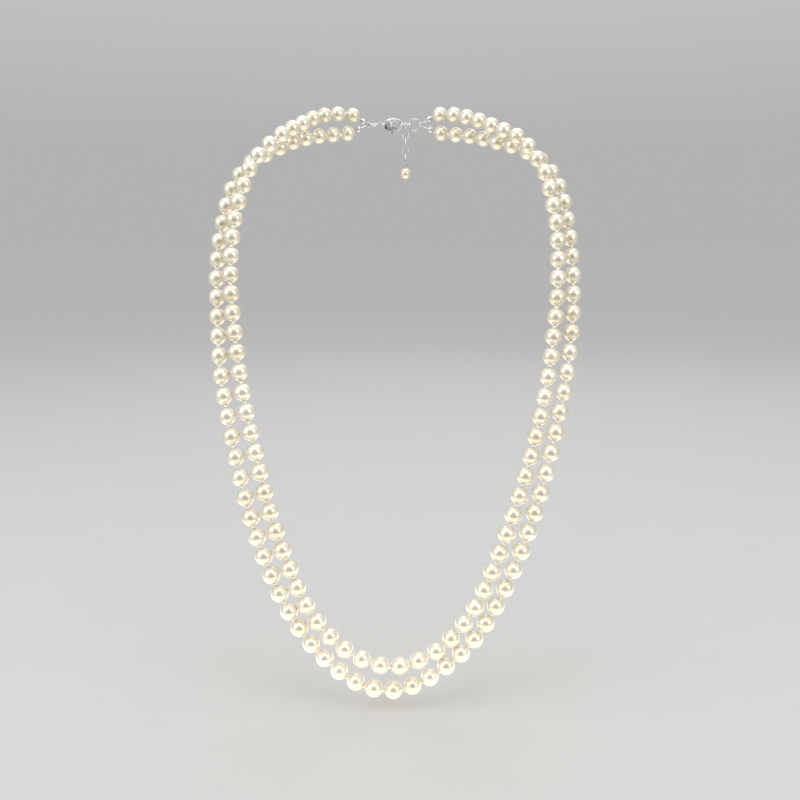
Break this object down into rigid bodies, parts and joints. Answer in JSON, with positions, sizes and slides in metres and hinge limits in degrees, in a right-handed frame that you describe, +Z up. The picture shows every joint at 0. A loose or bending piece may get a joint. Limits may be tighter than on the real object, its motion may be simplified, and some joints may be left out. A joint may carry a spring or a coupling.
{
  "type": "pearl necklace",
  "caption": "Two nested strands of round cream pearls, knotted between pearls, joined at the nape by a lobster clasp with a short extender chain and pearl drop.",
  "frame": {"origin": "middle of the clasp at the nape, where the necklace rests on the back of the neck", "axes": "+Z up, -Y to the wearer's front, +X to the wearer's left"},
  "size_m": [0.173, 0.1338, 0.2746],
  "materials": {
    "pearl": "glossy cream nacre with a soft pink and green sheen",
    "thread": "white twisted silk thread",
    "metal": "polished rhodium-plated brass"
  },
  "bodies": {
    "root": {"inner_nape_left": "pearl", "inner_nape_right": "pearl", "inner_neck_left": "pearl", "inner_neck_right": "pearl", "inner_shoulder_left": "pearl", "inner_shoulder_right": "pearl", "bead_tip_inner_left": "metal", "bead_tip_inner_right": "metal", "outer_nape_left": "pearl", "outer_nape_right": "pearl", "outer_neck_left": "pearl", "outer_neck_right": "pearl", "outer_shoulder_left": "pearl", "outer_shoulder_right": "pearl", "bead_tip_outer_left": "metal", "bead_tip_outer_right": "metal"},
    "inner_collar": {"inner_collar_left": "pearl", "inner_collar_right": "pearl"},
    "inner_chest": {"inner_chest_left": "pearl", "inner_chest_right": "pearl"},
    "inner_middle": {"inner_middle_left": "pearl", "inner_middle_right": "pearl"},
    "inner_low": {"inner_low_left": "pearl", "inner_low_right": "pearl"},
    "inner_bottom": {"inner_bottom_left": "pearl", "inner_bottom_middle": "pearl", "inner_bottom_right": "pearl"},
    "outer_collar": {"outer_collar_left": "pearl", "outer_collar_right": "pearl"},
    "outer_chest": {"outer_chest_left": "pearl", "outer_chest_right": "pearl"},
    "outer_middle": {"outer_middle_left": "pearl", "outer_middle_right": "pearl"},
    "outer_low": {"outer_low_left": "pearl", "outer_low_right": "pearl"},
    "outer_bottom": {"outer_bottom_left": "pearl", "outer_bottom_middle": "pearl", "outer_bottom_right": "pearl"},
    "clasp": {"left_jump_ring": "metal", "right_jump_ring": "metal", "clasp_body": "metal", "clasp_pin": "metal", "clasp_spring": "metal", "extender_link_1": "metal"},
    "trigger": {"clasp_trigger": "metal"},
    "link_2": {"extender_link_2": "metal"},
    "link_3": {"extender_link_3": "metal"},
    "link_4": {"extender_link_4": "metal"},
    "link_5": {"extender_link_5": "metal"},
    "link_6": {"extender_link_6": "metal"},
    "drop": {"drop_headpin": "metal"},
    "drop_bead": {"drop_pearl": "pearl"}
  },
  "joints": [
    {"name": "inner_collar_swing", "type": "hinge", "parent": "root", "child": "inner_collar", "pos_m": [0.0003, -0.08595, -0.07364], "axis": [-0.9999, 0.0077, 0.0112], "range_deg": [0, 30]},
    {"name": "inner_chest_swing", "type": "hinge", "parent": "inner_collar", "child": "inner_chest", "pos_m": [0.0002, -0.10239, -0.11677], "axis": [-0.9999, 0.0032, 0.0139], "range_deg": [0, 18]},
    {"name": "inner_middle_swing", "type": "hinge", "parent": "inner_chest", "child": "inner_middle", "pos_m": [-0.0002, -0.11379, -0.16022], "axis": [-0.9999, 0.0014, 0.0152], "range_deg": [0, 18]},
    {"name": "inner_low_swing", "type": "hinge", "parent": "inner_middle", "child": "inner_low", "pos_m": [-0.00096, -0.11984, -0.1946], "axis": [-0.9999, -0.0005, 0.0142], "range_deg": [0, 15]},
    {"name": "inner_bottom_swing", "type": "hinge", "parent": "inner_low", "child": "inner_bottom", "pos_m": [-0.00124, -0.12347, -0.22733], "axis": [-0.9999, -0.0009, 0.0167], "range_deg": [0, 15]},
    {"name": "outer_collar_swing", "type": "hinge", "parent": "root", "child": "outer_collar", "pos_m": [0.00069, -0.08458, -0.08257], "axis": [-0.9999, -0.0039, -0.0095], "range_deg": [0, 30]},
    {"name": "outer_chest_swing", "type": "hinge", "parent": "outer_collar", "child": "outer_chest", "pos_m": [0.00025, -0.10389, -0.12545], "axis": [-0.9999, -0.0042, -0.011], "range_deg": [0, 18]},
    {"name": "outer_middle_swing", "type": "hinge", "parent": "outer_chest", "child": "outer_middle", "pos_m": [-0.00019, -0.11607, -0.16926], "axis": [-0.9999, 0.0001, -0.0158], "range_deg": [0, 18]},
    {"name": "outer_low_swing", "type": "hinge", "parent": "outer_middle", "child": "outer_low", "pos_m": [-0.0004, -0.12123, -0.20395], "axis": [-0.9998, -0.0053, -0.0194], "range_deg": [0, 15]},
    {"name": "outer_bottom_swing", "type": "hinge", "parent": "outer_low", "child": "outer_bottom", "pos_m": [-0.0003, -0.12394, -0.23621], "axis": [-0.9996, -0.0062, -0.0258], "range_deg": [0, 15]},
    {"name": "clasp_rock", "type": "hinge", "parent": "root", "child": "clasp", "pos_m": [0, 0, 0], "axis": [1, 0, 0], "range_deg": [-12, 12]},
    {"name": "trigger_open", "type": "hinge", "parent": "clasp", "child": "trigger", "pos_m": [-0.003, 0, -0.0014], "axis": [0, -1, 0], "range_deg": [0, 22], "stiffness_Nm_per_rad": 0.002, "springref_deg": -20.05},
    {"name": "link_2_swing", "type": "hinge", "parent": "clasp", "child": "link_2", "pos_m": [0.006, 0.00175, 0], "axis": [1, 0, 0], "range_deg": [-20, 20]},
    {"name": "link_3_swing", "type": "hinge", "parent": "link_2", "child": "link_3", "pos_m": [0.006, 0.00175, -0.00405], "axis": [0, 1, 0], "range_deg": [-15, 15]},
    {"name": "link_4_swing", "type": "hinge", "parent": "link_3", "child": "link_4", "pos_m": [0.006, 0.00175, -0.00815], "axis": [1, 0, 0], "range_deg": [-20, 20]},
    {"name": "link_5_swing", "type": "hinge", "parent": "link_4", "child": "link_5", "pos_m": [0.006, 0.00175, -0.01225], "axis": [0, 1, 0], "range_deg": [-15, 15]},
    {"name": "link_6_swing", "type": "hinge", "parent": "link_5", "child": "link_6", "pos_m": [0.006, 0.00175, -0.01635], "axis": [1, 0, 0], "range_deg": [-20, 20]},
    {"name": "drop_swing", "type": "hinge", "parent": "link_6", "child": "drop", "pos_m": [0.006, 0.00175, -0.02045], "axis": [0, 1, 0], "range_deg": [-20, 20]},
    {"name": "drop_pearl_spin", "type": "hinge", "parent": "drop", "child": "drop_bead", "pos_m": [0.006, 0.00175, -0.02645], "axis": [0, 0, 1], "continuous": true}
  ],
  "couplings": [
    {"joint": "inner_collar_swing", "follows": "outer_collar_swing", "ratio": 1},
    {"joint": "inner_chest_swing", "follows": "outer_chest_swing", "ratio": 1}
  ]
}
